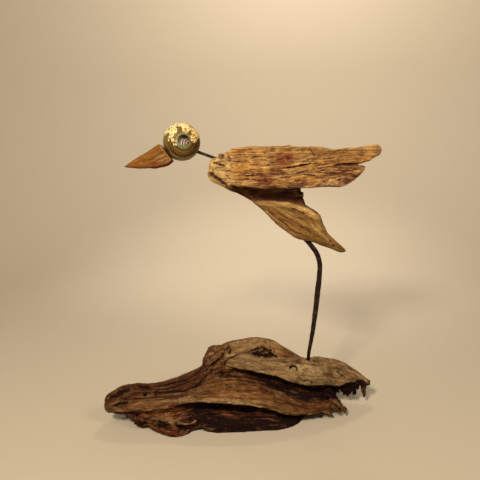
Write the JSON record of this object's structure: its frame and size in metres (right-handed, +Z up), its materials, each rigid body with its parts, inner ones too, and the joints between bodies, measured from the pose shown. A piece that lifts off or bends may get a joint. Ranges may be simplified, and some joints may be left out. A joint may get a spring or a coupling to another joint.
{
  "type": "driftwood bird sculpture",
  "caption": "Driftwood bird with a long beak, a round turned head and a plank on each side for wings, on a thin bent iron leg that stands in a wide, low root.",
  "frame": {"origin": "middle of the outer box, on the level that the root's foot rests on", "axes": "+Z up, -X towards the beak, +X towards the tail and the root's broken end, -Y towards the side that the picture shows"},
  "size_m": [0.4593, 0.1616, 0.4911],
  "materials": {
    "weathered_root": "weathered by sea and sun, rough and fibrous",
    "golden_driftwood": "bleached driftwood, dry with open grain",
    "pale_driftwood": "bleached driftwood, dry with open grain",
    "orange_driftwood": "smooth driftwood with a slight sheen",
    "forged_iron": "black forged iron with brown oxide",
    "rusty_iron": "rusted",
    "olive_float": "glossy olive under a worn yellow crust",
    "grey_metal": "dull grey, ridged"
  },
  "bodies": {
    "root": {"base_driftwood": "weathered_root", "leg_rod": "forged_iron", "body_driftwood": "pale_driftwood", "wing_near": "golden_driftwood", "wing_far": "golden_driftwood", "head_float": "olive_float", "eye_insert": "grey_metal", "neck_rod": "forged_iron", "beak": "orange_driftwood", "wing_nail_near_front": "rusty_iron", "wing_nail_near_rear": "rusty_iron", "wing_nail_far_front": "rusty_iron", "wing_nail_far_rear": "rusty_iron"}
  },
  "joints": []
}
